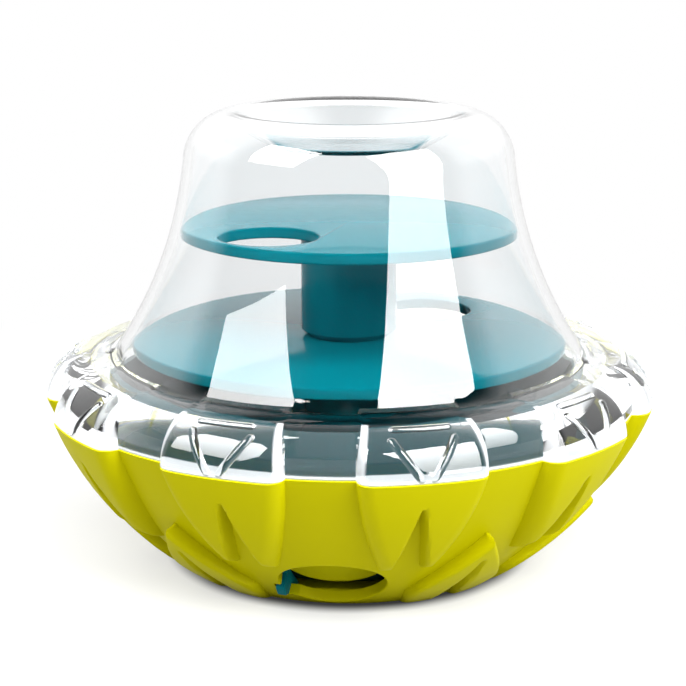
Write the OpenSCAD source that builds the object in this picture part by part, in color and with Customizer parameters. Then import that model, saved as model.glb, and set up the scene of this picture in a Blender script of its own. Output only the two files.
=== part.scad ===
// Treat puzzle for dogs. A weighted lobed base with a gated outlet carries two turning tiers under a clear dome.
// Millimetres, +Z up, origin on the floor under the centre. The outlet faces -Y.
// Angles around the toy are measured from -Y towards +X.

/* [Overall] */
// Height of the plane where the dome meets the base
base_height = 44; // [42:0.5:48]
// Radius over the lobes at that plane
lobe_radius = 82.5; // [80:0.5:88]
// Height of the dome above that plane
dome_height = 78; // [75:0.5:86]

/* [Base outline] */
// Radius of the plain foot on the floor
foot_radius = 43.5; // [42:0.5:46]
// Radius of the plain bowl's outline arc
core_arc_radius = 126; // [115:1:150]
// Radius of the outline arc over the lobes and petals
lobe_arc_radius = 90; // [86:1:110]
// How far the petals stand proud at the floor
petal_relief = 3; // [2:0.5:4]

/* [Lobes and petals] */
// Number of lobes round the rim
lobe_count = 10; // [9:1:11]
// How far the lobes stand proud of the bowl at the rim
lobe_relief = 4.5; // [3:0.5:6]
// Half of the angle that a lobe takes at the rim
lobe_half_angle = 12.5; // [11:0.5:13.5]
// Length cut off each upright corner of a lobe to round it
lobe_corner = 4; // [2:0.5:5]
// Height of the lobes' lower tips
lobe_tip_height = 15.5; // [13:0.5:18]
// Half width of a lobe where its two legs end
lobe_tip_half_width = 6.5; // [5.5:0.5:8]
// Height of the point of the split between a lobe's legs
split_apex_height = 35; // [30:0.5:38]
// Half width of the split at the lobe's tips
split_half_width = 4.8; // [3.5:0.1:5]
// Height of a petal's point
petal_apex_height = 24; // [22:0.5:26]
// Height where a petal has reached its width
petal_shoulder_height = 11; // [9:0.5:14]
// Half width of a petal at its shoulders
petal_half_width = 14; // [12:0.5:14.5]
// Half width of a petal at the floor
petal_foot_half_width = 11.5; // [9:0.5:12]
// Height of the point of the split in a petal
petal_split_height = 15; // [12:0.5:18]
// Half width of a petal's split at the floor
petal_split_half_width = 3.5; // [2.5:0.5:4.5]

/* [Base shell] */
// Wall of the base shell
shell_wall = 3; // [2.6:0.1:3.4]
// Floor of the base shell
shell_floor = 3; // [2.6:0.1:3.4]
// Wall left outside the socket for the dome's spigot
rim_wall = 2.75; // [2.4:0.05:3.2]
// Height of the ledge that carries the tray
seat_height = 33; // [31:0.5:35]
// Reach of that ledge
seat_reach = 2; // [1.6:0.1:2.2]

/* [Outlet and gate] */
// Height of the outlet's centre on the outside of the shell
outlet_height = 8.4; // [8.2:0.1:9.4]
// Half width of the outlet
outlet_half_width = 14.2; // [12:0.2:14.6]
// Half length of the outlet, measured up the slope
outlet_half_length = 10.5; // [8.5:0.1:10.8]
// Thickness of the gate's plate
gate_thickness = 2; // [1.6:0.1:2.4]
// Room on each side of the gate
gate_clearance = 0.4; // [0.3:0.05:0.6]
// Height of the gate's upper edge
gate_top = 21; // [20.5:0.5:22.5]
// Angle round the toy that the gate's plate takes
gate_angle = 30; // [26:1:34]
// Angle of the gate's leading edge when it is open, to the left of the outlet's middle
gate_open_angle = 11.3; // [11:0.1:12.6]
// Angle round the toy that the gate's finger lip takes
lip_angle = 4; // [3:0.5:5]
// Angle from the gate's leading edge back to its finger lip
lip_setback = 0.5; // [0.3:0.1:1]
// Half length of the finger lip, measured up the slope
lip_half_length = 7; // [5:0.5:7.5]

/* [Tray] */
// Wall of the tray
tray_wall = 2.4; // [2:0.1:2.8]
// Height of the tray's rim above the base's rim
tray_rim_rise = 6; // [4:0.5:8]
// Height of the bottom of the tray's trough
trough_height = 6.5; // [6:0.1:7.4]
// Radius where the tray's cone meets the trough
trough_radius = 36; // [34:0.5:37]
// Height of the flat top of the tray's cone
cone_height = 24; // [20:0.5:28]
// Radius of the flat top of the tray's cone
cone_radius = 15; // [14:0.5:17]
// Thickness of the collar that sits on the shell's ledge
collar_thickness = 2; // [1.6:0.1:2.6]
// Thickness of the rib that keeps the gate down
rail_thickness = 2; // [1.6:0.1:2.6]

/* [Ballast and screws] */
// Outer radius of the ballast ring
ballast_radius = 27; // [24:0.5:28]
// Bore radius of the ballast ring
ballast_bore = 8; // [6:0.5:11]
// Height of the ballast ring
ballast_height = 7; // [5:0.5:7.5]
// Distance of the screws from the centre
screw_distance = 19; // [17:0.5:20]
// Number of screws
screw_count = 3; // [3:1:5]
// Radius of a screw's shank
screw_radius = 1.6; // [1.4:0.1:2]
// Radius of a screw's head
screw_head_radius = 3.2; // [2.8:0.1:3.6]
// Height of a screw's head
screw_head_height = 1.4; // [1.2:0.1:1.6]
// Depth of a screw's head under the foot
screw_recess = 0.5; // [0.3:0.1:0.8]
// Length of a screw's shank
screw_length = 12; // [10:0.5:13]
// Room round a screw where it passes through
screw_clearance = 0.2; // [0.15:0.05:0.4]
// Radius of the tray's screw bosses
boss_radius = 4; // [3.6:0.1:5]

/* [Tiers] */
// Height of the lower disc's top above the base's rim
lower_disc_rise = 16.9; // [16:0.1:20]
// Height of the upper disc's top above the base's rim
upper_disc_rise = 47.9; // [46:0.1:52]
// Room between the lower disc and the dome
lower_disc_gap = 0.95; // [0.4:0.05:3]
// Room between the upper disc and the dome
upper_disc_gap = 0.35; // [0.3:0.05:3]
// Thickness of both discs
disc_thickness = 3; // [2.6:0.1:3.4]
// Width of the bevel on the discs' edges
disc_bevel = 0.7; // [0.4:0.1:1]
// Width left between the upper disc's treat hole and the disc's edge
hole_rim = 2.15; // [1.8:0.05:4]
// Width left between the upper disc's treat hole and the tube
hole_web = 4.2; // [3:0.1:6]
// Angle of the upper disc's hole
upper_hole_angle = -38; // [-180:1:180]
// Width left between the lower disc's treat hole and the disc's edge
lower_hole_rim = 8.9; // [4:0.1:12]
// Angle of the lower disc's hole
lower_hole_angle = 147; // [-180:1:180]
// Outer radius of the tubes
tube_radius = 13; // [12.5:0.1:13.5]
// Wall of the tubes
tube_wall = 2.5; // [2:0.1:3]
// Bevel on the lower ends of the tubes
tube_bevel = 1.6; // [1:0.1:1.8]
// Height of the pegs that the tubes turn on
peg_height = 12; // [8:0.5:16]
// Radial room between a peg and its tube
peg_clearance = 0.06; // [0.04:0.01:0.1]

/* [Clear dome] */
// Wall of the dome
dome_wall = 2.4; // [2:0.1:2.6]
// Height of the lobed flange
flange_height = 13; // [12:0.5:14]
// How far the tops of the flange's lobes lie under its inner ring
lobe_top_drop = 0.4; // [0.3:0.1:0.8]
// Width of the raised ribs that draw a triangle on each of the flange's lobes
rib_width = 1.8; // [1.2:0.1:2.2]
// How far those ribs stand out of the lobe
rib_rise = 0.6; // [0.4:0.1:0.8]
// Half length of the rib along a lobe's top
rib_half_length = 7.3; // [6:0.1:8]
// Half distance between the slanting ribs at their upper ends
rib_half_spread = 8; // [7:0.1:8.5]
// Half distance between the slanting ribs at their lower ends
rib_half_gap = 1.7; // [1.2:0.1:2.5]
// Width of the flat between the dome's foot and the flange's rounding
foot_flat = 0.8; // [0.4:0.1:1.2]
// Radius of the dome's flared side in section
flare_radius = 112; // [100:1:130]
// Radius of the dome's crest
crest_radius = 31.2; // [30:0.2:32]
// Rounding of the dome's shoulder
shoulder_round = 13; // [11:0.5:14]
// Angle above level where the shoulder leaves the flared side
shoulder_start = 6; // [4:1:8]
// Rounding between the crest and the finger dish in the top
dish_round = 8; // [6:0.5:10]
// Steepness of the dish's side
dish_slope = 35; // [28:1:42]
// Depth of the dish
dish_depth = 6.8; // [5:0.2:8]
// Depth that the dome's spigot reaches into the base
spigot_depth = 6; // [5:0.5:7]
// Room round the spigot
spigot_clearance = 0.4; // [0.3:0.05:0.6]
// Height that the spigot stands above the base's rim to join the flange
spigot_rise = 10.4; // [9.6:0.1:10.8]
// Number of keys that line the dome up with the base
key_count = 5; // [5:5:10]
// Width of a key
key_width = 4; // [3:0.5:6]
// How far a key stands out from the spigot
key_reach = 1.6; // [1.2:0.1:2.4]
// Height of a key above the base's rim
key_rise = 0.5; // [0.5:0.5:3]
// Depth that a key reaches under the base's rim
key_depth = 4; // [3:0.5:4]

/* [Hidden] */
$fn = 96;

lime = [0.73, 0.72, 0.02];
teal = [0.04, 0.44, 0.47];
steel = [0.55, 0.56, 0.58];
clear = [0.86, 0.93, 0.96, 0.4];

// Extra reach of a cutting shape past the face it cuts
over = 1;
// Steps in a profile's arcs and in a rounded corner
arc_steps = 10;
corner_steps = 4;
ellipse_steps = 40;
// Angle of the first step down from the dome's crest
crest_step = 10;

lobe_pitch = 360 / lobe_count;
core_rim_radius = lobe_radius - lobe_relief;
core_centre = arc_centre([foot_radius, 0], [core_rim_radius, base_height], core_arc_radius);
lobe_centre = arc_centre([foot_radius + petal_relief, 0], [lobe_radius, base_height], lobe_arc_radius);

socket_floor = base_height - spigot_depth;
socket_radius = core_at(socket_floor) - rim_wall;
spigot_radius = socket_radius - spigot_clearance;

outlet_radius = core_at(outlet_height);
outlet_tilt = atan2(core_centre[1] - outlet_height, outlet_radius - core_centre[0]);

gate_inset = shell_wall + gate_clearance;
tray_inset = gate_inset + gate_thickness + gate_clearance;
gate_floor = shell_floor + gate_clearance;
rail_height = gate_top + gate_clearance;
lip_end = -gate_open_angle - lip_setback;

peg_radius = tube_radius - tube_wall - peg_clearance;
peg_top = cone_height + peg_height;
cone_angle = atan2(cone_height - trough_height, trough_radius - cone_radius);
cone_drop = tray_wall / cos(cone_angle);
collar_top = seat_height + collar_thickness;
tray_rim_radius = core_at(collar_top, tray_inset);
tray_rim_height = base_height + tray_rim_rise;

lower_disc_top = base_height + lower_disc_rise;
upper_disc_top = base_height + upper_disc_rise;
ballast_top = shell_floor + ballast_height;

shoulder_centre = [crest_radius, base_height + dome_height - shoulder_round];
dish_centre = [crest_radius, base_height + dome_height - dish_round];
neck = shoulder_centre + shoulder_round * [cos(shoulder_start), sin(shoulder_start)];
flange_top = base_height + flange_height;
flange_ring = core_rim_radius - flange_height;
flare_centre = arc_centre(neck, [flange_ring - foot_flat, flange_top], flare_radius);
lower_disc_radius = flare_at(lower_disc_top - disc_bevel, dome_wall) - lower_disc_gap;
upper_disc_radius = flare_at(upper_disc_top - disc_bevel, dome_wall) - upper_disc_gap;
treat_hole_radius = (upper_disc_radius - tube_radius - hole_rim - hole_web) / 2;
upper_hole_distance = upper_disc_radius - hole_rim - treat_hole_radius;
lower_hole_distance = lower_disc_radius - lower_hole_rim - treat_hole_radius;
lobe_round = flange_height - lobe_top_drop;
flange_lobe_centre = lobe_radius - lobe_round;

// Centre of the arc that runs from p to q with its centre on the left
function arc_centre(p, q, r) =
    let (d = q - p, rise = sqrt(r * r - d * d / 4) / norm(d))
    (p + q) / 2 + rise * [-d[1], d[0]];

// Points along an arc, both ends included
function arc(centre, r, from, to, steps) =
    [for (i = [0 : steps]) let (a = from + (to - from) * i / steps) centre + r * [cos(a), sin(a)]];

// Radius of the plain bowl at a height, measured inset inside its outer face
function core_at(z, inset = 0) =
    core_centre[0] + sqrt(pow(core_arc_radius - inset, 2) - pow(z - core_centre[1], 2));

// Radius over the lobes and petals at a height
function lobe_at(z) = lobe_centre[0] + sqrt(pow(lobe_arc_radius, 2) - pow(z - lobe_centre[1], 2));

// Radius of the dome's flared side at a height
function flare_at(z, inset = 0) =
    flare_centre[0] - sqrt(pow(flare_radius + inset, 2) - pow(z - flare_centre[1], 2));

// Heights from one level to another in equal steps
function levels(from, to) = [for (i = [0 : arc_steps]) from + (to - from) * i / arc_steps];

function core_line(inset, from, to) = [for (z = levels(from, to)) [core_at(z, inset), z]];
function lobe_line(from, to) = [for (z = levels(from, to)) [lobe_at(z), z]];

// A corner at b between a and c, softened over a length
function soft_corner(a, b, c, cut) =
    let (p = b + cut * (a - b) / norm(a - b), q = b + cut * (c - b) / norm(c - b))
    [for (i = [0 : corner_steps]) let (t = i / corner_steps)
        (1 - t) * (1 - t) * p + 2 * t * (1 - t) * b + t * t * q];

// An outline with its corners softened by the lengths in cuts
function softened(points, cuts) =
    let (n = len(points))
    [for (i = [0 : n - 1]) each cuts[i] == 0 ? [points[i]]
        : soft_corner(points[(i + n - 1) % n], points[i], points[(i + 1) % n], cuts[i])];

// Outline of the dome's side from the dish to the given height, inset inside the outer face
function dome_line(inset, to) =
    let (
        dish_floor = base_height + dome_height - dish_depth - inset,
        side = dish_centre + (dish_round - inset) * [-sin(dish_slope), cos(dish_slope)],
        floor_radius = side[0] - (side[1] - dish_floor) / tan(dish_slope)
    )
    concat(
        [[0, dish_floor], [floor_radius, dish_floor]],
        arc(dish_centre, dish_round - inset, 90 + dish_slope, 90, corner_steps),
        arc(shoulder_centre, shoulder_round - inset, 90 - crest_step, shoulder_start, arc_steps),
        [for (z = levels(neck[1] - inset, to)) [flare_at(z, inset), z]]
    );

// A turned solid from a profile of radius and height
module turned(profile) {
    rotate_extrude() polygon(profile);
}

// Copies round the axis at the middles of the lobes
module at_lobes() {
    for (i = [0 : lobe_count - 1]) rotate([0, 0, (i + 0.5) * lobe_pitch]) children();
}

// Copies round the axis at the petals, leaving out the one at the outlet
module at_petals() {
    for (i = [1 : lobe_count - 1]) rotate([0, 0, i * lobe_pitch]) children();
}

module at_screws() {
    for (i = [0 : screw_count - 1]) rotate([0, 0, (i + 0.5) * 360 / screw_count]) translate([0, -screw_distance, 0])
        children();
}

// A face outline of width and height pushed outwards through the wall
module through_wall(outline) {
    rotate([90, 0, 0]) linear_extrude(height = lobe_radius + lobe_relief) polygon(outline);
}

// The part of a turned solid between two angles
module turned_between(from, to) {
    rotate([0, 0, from - 90]) rotate_extrude(angle = to - from) children();
}

// The outlet's own frame, with its Z axis pointing out of the shell
module at_outlet() {
    translate([0, -outlet_radius, outlet_height]) rotate([90 + outlet_tilt, 0, 0]) children();
}

// A profile in the outlet's section, given as distances up the slope and depths under the shell's face
module outlet_section(points) {
    polygon([for (p = points) [
        outlet_radius + p[0] * sin(outlet_tilt) - p[1] * cos(outlet_tilt),
        outlet_height + p[0] * cos(outlet_tilt) + p[1] * sin(outlet_tilt)]]);
}

// Plan of a lobe, narrowed by inset on every side
module lobe_plan(inset) {
    r = lobe_radius - inset;
    inner = core_rim_radius / 2;
    shift = inset / cos(lobe_half_angle);
    crown = r + lobe_corner / 2;
    edge = r * cos(lobe_half_angle);
    half_edge = edge * tan(lobe_half_angle) - shift;
    half_inner = inner * tan(lobe_half_angle) - shift;
    polygon(softened(
        [[-half_inner, -inner], [-half_edge, -edge], [0, -crown], [half_edge, -edge], [half_inner, -inner]],
        [0, lobe_corner, 0, lobe_corner, 0]));
}

// Face of a base lobe, seen from outside, with the split between its legs
module lobe_face() {
    top = base_height + over;
    half_top = lobe_radius * sin(lobe_half_angle);
    bend = (lobe_tip_half_width + half_top) / 2;
    bend_height = lobe_tip_height + (base_height - lobe_tip_height) * 0.4;
    through_wall(softened([
        [-half_top, top], [-bend, bend_height],
        [-lobe_tip_half_width, lobe_tip_height], [-split_half_width, lobe_tip_height],
        [0, split_apex_height],
        [split_half_width, lobe_tip_height], [lobe_tip_half_width, lobe_tip_height],
        [bend, bend_height], [half_top, top]],
        [0, 4, 0, 0, 1.5, 0, 0, 4, 0]));
}

// Plan of the room that a petal may take between its neighbours
module petal_plan() {
    inner = foot_radius / 2;
    half_angle = lobe_pitch * 0.47;
    polygon([
        [-inner * tan(half_angle), -inner], [-lobe_radius * tan(half_angle), -lobe_radius],
        [lobe_radius * tan(half_angle), -lobe_radius], [inner * tan(half_angle), -inner]]);
}

// Face of a petal, seen from outside, with its split
module petal_face() {
    bend = petal_half_width * 0.75;
    bend_height = (petal_apex_height + petal_shoulder_height) / 2;
    through_wall(softened([
        [0, petal_apex_height], [-bend, bend_height], [-petal_half_width, petal_shoulder_height],
        [-petal_foot_half_width, -over], [-petal_split_half_width, -over],
        [0, petal_split_height],
        [petal_split_half_width, -over], [petal_foot_half_width, -over],
        [petal_half_width, petal_shoulder_height], [bend, bend_height]],
        [1.5, 3, 3, 0, 0, 1.5, 0, 0, 3, 3]));
}

module base_lobes() {
    intersection() {
        turned(concat(
            [[core_at(lobe_tip_height, shell_wall / 2), lobe_tip_height]],
            lobe_line(lobe_tip_height, base_height),
            [[core_at(base_height, shell_wall / 2), base_height]]));
        at_lobes() intersection() {
            linear_extrude(height = base_height + over) lobe_plan(0);
            lobe_face();
        }
    }
}

module base_petals() {
    intersection() {
        turned(concat(
            [[core_at(0, shell_wall / 2), 0]],
            lobe_line(0, petal_apex_height + over),
            [[core_at(petal_apex_height, shell_wall / 2), petal_apex_height + over]]));
        at_petals() intersection() {
            linear_extrude(height = petal_apex_height + over) petal_plan();
            petal_face();
        }
    }
}

// Inside of the shell, with the socket for the dome's spigot
module shell_cavity() {
    turned(concat(
        [[0, shell_floor]],
        core_line(shell_wall, shell_floor, socket_floor),
        [[socket_radius, socket_floor], [socket_radius, base_height + over], [0, base_height + over]]));
}

// Ledge that the tray's collar sits on
module shell_ledge() {
    reach = core_at(seat_height, shell_wall) - seat_reach;
    below = seat_height - 2 * seat_reach;
    turned([
        [reach, seat_height], [core_at(seat_height, shell_wall / 2), seat_height],
        [core_at(below, shell_wall / 2), below]]);
}

module outlet_bore() {
    at_outlet() translate([0, 0, -tray_inset - 2 * tray_wall])
        linear_extrude(height = tray_inset + 2 * tray_wall + 4 * over)
            polygon([for (i = [0 : ellipse_steps - 1]) let (a = 360 * i / ellipse_steps)
                [outlet_half_width * cos(a), outlet_half_length * sin(a)]]);
}

// Pocket in the outlet's left edge for the gate's finger lip
module lip_pocket() {
    reach = lip_half_length + gate_clearance;
    slack = gate_clearance / outlet_radius * 180 / PI;
    turned_between(lip_end - lip_angle - slack, -gate_open_angle + lip_angle)
        outlet_section([[-reach, -2 * over], [reach, -2 * over], [reach, tray_inset - gate_clearance],
            [-reach, tray_inset - gate_clearance]]);
}

// Slots in the rim for the dome's keys
module key_slots() {
    for (i = [0 : key_count - 1]) rotate([0, 0, lobe_pitch / 2 + i * 360 / key_count])
        translate([-key_width / 2 - spigot_clearance, -spigot_radius - key_reach - spigot_clearance,
            base_height - key_depth - spigot_clearance])
            cube([key_width + 2 * spigot_clearance, key_reach + 2 * spigot_clearance,
                key_depth + spigot_clearance + over]);
}

module base_shell() {
    color(lime) union() {
        difference() {
            union() {
                turned(concat([[0, 0]], core_line(0, 0, base_height), [[0, base_height]]));
                base_lobes();
                base_petals();
            }
            shell_cavity();
            key_slots();
            outlet_bore();
            lip_pocket();
            at_screws() translate([0, 0, -over])
                cylinder(r = screw_radius + screw_clearance, h = shell_floor + 2 * over);
            at_screws() translate([0, 0, -over])
                cylinder(r = screw_head_radius + screw_clearance, h = screw_recess + screw_head_height + over);
        }
        shell_ledge();
    }
}

module tray_profile() {
    polygon(concat(
        [
            [0, peg_top - tray_wall], [peg_radius - tray_wall, peg_top - tray_wall],
            [peg_radius - tray_wall, cone_height - tray_wall],
            [cone_radius - (cone_drop - tray_wall) / tan(cone_angle), cone_height - tray_wall],
            [cone_radius + (cone_height - cone_drop - trough_height + tray_wall) / tan(cone_angle),
                trough_height - tray_wall]
        ],
        core_line(tray_inset, trough_height - tray_wall, seat_height),
        [
            [core_at(seat_height, gate_inset), seat_height], [core_at(seat_height, gate_inset), collar_top],
            [tray_rim_radius, collar_top], [tray_rim_radius, tray_rim_height],
            [tray_rim_radius - tray_wall, tray_rim_height]
        ],
        core_line(tray_inset + tray_wall, collar_top, trough_height),
        [
            [trough_radius, trough_height], [cone_radius, cone_height], [peg_radius, cone_height],
            [peg_radius, peg_top], [0, peg_top]
        ]));
}

// Rib round the tray that keeps the gate from riding up
module tray_rail() {
    top = rail_height + rail_thickness;
    turned([
        [core_at(rail_height, tray_inset + tray_wall / 2), rail_height], [core_at(rail_height, gate_inset), rail_height],
        [core_at(top, gate_inset), top], [core_at(top, tray_inset + tray_wall / 2), top]]);
}

// Height of the tray's upper face over a screw
function cone_at(r) = cone_height - (r - cone_radius) * tan(cone_angle);

module treat_tray() {
    color(teal) difference() {
        union() {
            rotate_extrude() tray_profile();
            tray_rail();
            intersection() {
                at_screws() translate([0, 0, ballast_top])
                    cylinder(r = boss_radius, h = cone_height - ballast_top);
                turned([
                    [0, ballast_top], [trough_radius, ballast_top], [trough_radius, trough_height + over],
                    [cone_radius, cone_height - tray_wall / 2], [0, cone_height - tray_wall / 2]]);
            }
        }
        outlet_bore();
        at_screws() translate([0, 0, ballast_top - over])
            cylinder(r = screw_radius, h = cone_at(screw_distance + screw_radius) - cone_drop / 2 - ballast_top + over);
    }
}

module ballast_ring() {
    color(steel) difference() {
        translate([0, 0, shell_floor]) cylinder(r = ballast_radius, h = ballast_height);
        translate([0, 0, shell_floor - over]) cylinder(r = ballast_bore, h = ballast_height + 2 * over);
        at_screws() translate([0, 0, shell_floor - over])
            cylinder(r = screw_radius + screw_clearance, h = ballast_height + 2 * over);
    }
}

module base_screws() {
    color(steel) at_screws() translate([0, 0, screw_recess]) difference() {
        union() {
            cylinder(r = screw_head_radius, h = screw_head_height);
            cylinder(r = screw_radius, h = screw_head_height + screw_length);
        }
        for (a = [0, 90]) rotate([0, 0, a])
            cube([screw_head_radius * 1.2, screw_radius / 2, screw_head_height], center = true);
    }
}

module outlet_gate() {
    color(teal) union() {
        turned_between(-gate_open_angle - gate_angle, -gate_open_angle)
            polygon(concat(core_line(gate_inset, gate_floor, gate_top),
                core_line(gate_inset + gate_thickness, gate_top, gate_floor)));
        turned_between(lip_end - lip_angle, lip_end)
            outlet_section([[-lip_half_length, gate_clearance / 2], [lip_half_length, gate_clearance / 2],
                [lip_half_length, gate_inset + gate_thickness / 2],
                [-lip_half_length, gate_inset + gate_thickness / 2]]);
    }
}

// A disc with bevelled edges, a treat hole and a tube down to the given height
module tier(radius, top, hole_distance, hole_angle, tube_bottom) {
    bottom = top - disc_thickness;
    bore = tube_radius - tube_wall;
    difference() {
        turned([
            [0, bottom], [bore, bottom], [bore, tube_bottom], [tube_radius - tube_bevel, tube_bottom],
            [tube_radius, tube_bottom + tube_bevel], [tube_radius, bottom],
            [radius - disc_bevel, bottom], [radius, bottom + disc_bevel], [radius, top - disc_bevel],
            [radius - disc_bevel, top], [0, top]]);
        rotate([0, 0, hole_angle]) translate([0, -hole_distance, bottom - over])
            cylinder(r = treat_hole_radius, h = disc_thickness + 2 * over);
    }
}

module lower_tier() {
    color(teal) union() {
        tier(lower_disc_radius, lower_disc_top, lower_hole_distance, lower_hole_angle, cone_height);
        turned([
            [peg_radius - tube_wall, lower_disc_top - disc_thickness / 2], [peg_radius, lower_disc_top - disc_thickness / 2],
            [peg_radius, lower_disc_top + peg_height - disc_bevel],
            [peg_radius - disc_bevel, lower_disc_top + peg_height],
            [peg_radius - tube_wall, lower_disc_top + peg_height]]);
    }
}

module upper_tier() {
    color(teal)
        tier(upper_disc_radius, upper_disc_top, upper_hole_distance, upper_hole_angle, lower_disc_top);
}

// The dome and its plain flange, filled, inset inside the outer face
module dome_body(inset, floor) {
    turned(concat(
        dome_line(inset, flange_top - inset),
        arc([flange_ring, base_height], flange_height - inset, 90, 0, arc_steps),
        [[core_rim_radius - inset, floor], [0, floor]]));
}

// The flange's lobes, filled, inset inside the outer face
module flange_lobes(inset, floor) {
    inner = flange_ring + over;
    intersection() {
        turned(concat(
            [[inner, floor], [inner, base_height + lobe_round - inset]],
            arc([flange_lobe_centre, base_height], lobe_round - inset, 90, 0, arc_steps),
            [[lobe_radius - inset, floor]]));
        at_lobes() translate([0, 0, floor]) linear_extrude(height = flange_height + spigot_depth + over)
            lobe_plan(inset);
    }
}

// Raised ribs on the lobes, one along the top and two slanting down to the rim
module flange_ribs() {
    rib_centre = [flange_lobe_centre, base_height];
    half = rib_width / 2;
    bar_radius = flange_lobe_centre + rib_width;
    slant_top = base_height + lobe_round - rib_width;
    slant_bottom = base_height + rib_width / 2;
    intersection() {
        turned(concat(
            [[flange_lobe_centre - rib_width, base_height + lobe_round + rib_rise]],
            arc(rib_centre, lobe_round + rib_rise, 90, 2, arc_steps),
            arc(rib_centre, lobe_round - dome_wall / 2, 2, 90, arc_steps),
            [[flange_lobe_centre - rib_width, base_height + lobe_round - dome_wall / 2]]));
        at_lobes() {
            translate([-rib_half_length, -bar_radius - half, base_height])
                cube([2 * rib_half_length, rib_width, flange_height + over]);
            for (s = [-1, 1]) through_wall([
                [s * (rib_half_spread - half), slant_top], [s * (rib_half_spread + half), slant_top],
                [s * (rib_half_gap + half), slant_bottom], [s * (rib_half_gap - half), slant_bottom]]);
        }
    }
}

module dome_spigot() {
    turned([
        [spigot_radius - dome_wall, socket_floor + spigot_clearance], [spigot_radius, socket_floor + spigot_clearance],
        [spigot_radius, base_height + spigot_rise], [spigot_radius - dome_wall, base_height + spigot_rise]]);
    for (i = [0 : key_count - 1]) rotate([0, 0, lobe_pitch / 2 + i * 360 / key_count])
        translate([-key_width / 2, -spigot_radius - key_reach, base_height - key_depth])
            cube([key_width, key_reach + dome_wall / 2, key_depth + key_rise]);
}

module clear_dome() {
    color(clear) union() {
        difference() {
            union() {
                dome_body(0, base_height);
                flange_lobes(0, base_height);
            }
            dome_body(dome_wall, base_height - over);
            flange_lobes(dome_wall, base_height - over);
        }
        flange_ribs();
        dome_spigot();
    }
}

base_shell();
treat_tray();
ballast_ring();
base_screws();
outlet_gate();
lower_tier();
upper_tier();
clear_dome();
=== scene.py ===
"""Looks of a treat puzzle for dogs: a lobed bowl, turning tiers and a clear dome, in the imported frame."""
import math

import bmesh
import bpy
import numpy as np
from bpy.props import FloatProperty, FloatVectorProperty, IntProperty, PointerProperty
from mathutils import Matrix, Vector


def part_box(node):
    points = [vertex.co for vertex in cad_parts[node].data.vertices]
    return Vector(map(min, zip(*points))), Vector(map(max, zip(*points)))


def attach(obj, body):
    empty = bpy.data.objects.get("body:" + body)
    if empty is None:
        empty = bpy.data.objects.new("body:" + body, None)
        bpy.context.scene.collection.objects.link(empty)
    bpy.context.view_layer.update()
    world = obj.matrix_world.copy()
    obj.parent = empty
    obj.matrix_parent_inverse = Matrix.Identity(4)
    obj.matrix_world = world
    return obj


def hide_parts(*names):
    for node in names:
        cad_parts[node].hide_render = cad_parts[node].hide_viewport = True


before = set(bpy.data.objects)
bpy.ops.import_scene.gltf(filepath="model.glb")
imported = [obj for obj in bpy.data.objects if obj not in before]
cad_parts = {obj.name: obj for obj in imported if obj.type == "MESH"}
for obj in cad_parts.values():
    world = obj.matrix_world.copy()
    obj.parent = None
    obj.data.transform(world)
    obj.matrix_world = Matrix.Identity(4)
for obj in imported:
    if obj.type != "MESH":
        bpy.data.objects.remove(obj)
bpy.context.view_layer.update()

bl_info = {
    "name": "Treat Puzzle",
    "version": (1, 0, 0),
    "blender": (4, 5, 0),
    "location": "View3D > Sidebar > Treat Puzzle",
    "description": "Dresses the packed treat puzzle with smooth mouldings, finishes and a plain studio",
    "category": "Object",
}

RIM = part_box("base_shell")[1].z
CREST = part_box("clear_dome")[1].z
MM = 0.001

# Values from here on are in millimetres and degrees, and lengths become metres when a mesh is made

# Lobes: half angle at the rim, height and half width halfway down, half widths of the tips and of the split
LOBE_HALF_ANGLE = 11.8
LOBE_WAIST = (26.9, 12.3)
LOBE_TIP, LOBE_SPLIT = 7.0, 4.4
# Flange's lobes: share of the half width lost from rim to top, and how far they stay below the plain flange
LOBE_TAPER, LOBE_DROP = 0.1, 0.4
# Petals: half widths at the floor, the shoulder, the root below it and the split, and the corners' roundings
PETAL_FOOT, PETAL_SHOULDER, PETAL_ROOT, PETAL_SPLIT = 11.5, 14.3, 8.7, 3.0
PETAL_ROUNDS = [0, 5, 0.6, 5, 0]

# Socket for the dome's spigot: its floor, and the wall left outside it; and the keys between the two
SOCKET_FLOOR, SOCKET_WALL, SPIGOT_CLEARANCE = 38.0, 2.75, 0.4
KEY_COUNT, KEY_HALF_WIDTH, KEY_REACH, KEY_FLOOR, KEY_TOP, KEY_CLEARANCE = 5, 2.0, 1.6, 40.0, 45.0, 0.4

# Outlet: height of its middle, the middle's shift to the right, and its half width and half length
OUTLET_HEIGHT, OUTLET_SHIFT, OUTLET_HALF_WIDTH, OUTLET_HALF_LENGTH = 8.4, 0.5, 13.7, 10.5
# How far the tool that cuts the outlet reaches in and out from the face, and the points of its outline
OUTLET_IN, OUTLET_OUT, OUTLET_POINTS = 16, 8, 96
# Lining behind the gate: depth of its front under the bowl's face, its end, its clearance and its inner face
LINING_FRONT, LINING_END, LINING_CLEARANCE, LINING_FACE = 5.65, 14.0, 0.15, 0.6
# Gate: depths of its faces under the bowl's face, heights of its edges, and angles of the plate and its lip
GATE_FRONT, GATE_BACK, GATE_LOW, GATE_HIGH = 3.4, 5.4, 3.4, 21.0
GATE_ANGLES, LIP_ANGLES = (-41.3, -13.6), (-15.8, -13.4)
# Outline of the lip and roundings of its corners: distances up the outlet's slope and depths under the face
LIP = [(-7, 4.4), (-7, 0.2), (-5.4, -1.2), (-2.4, -0.6), (-1.9, 4.4)]
LIP_ROUNDS = [0, 0.6, 0.9, 0.8, 0]
# Pocket that the lip slides in, measured as the lip is
POCKET = [(-7.4, -2), (-1.5, -2), (-1.5, 5.4), (-7.4, 5.4)]
POCKET_ANGLES = (-16.3, -7.3)

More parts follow.
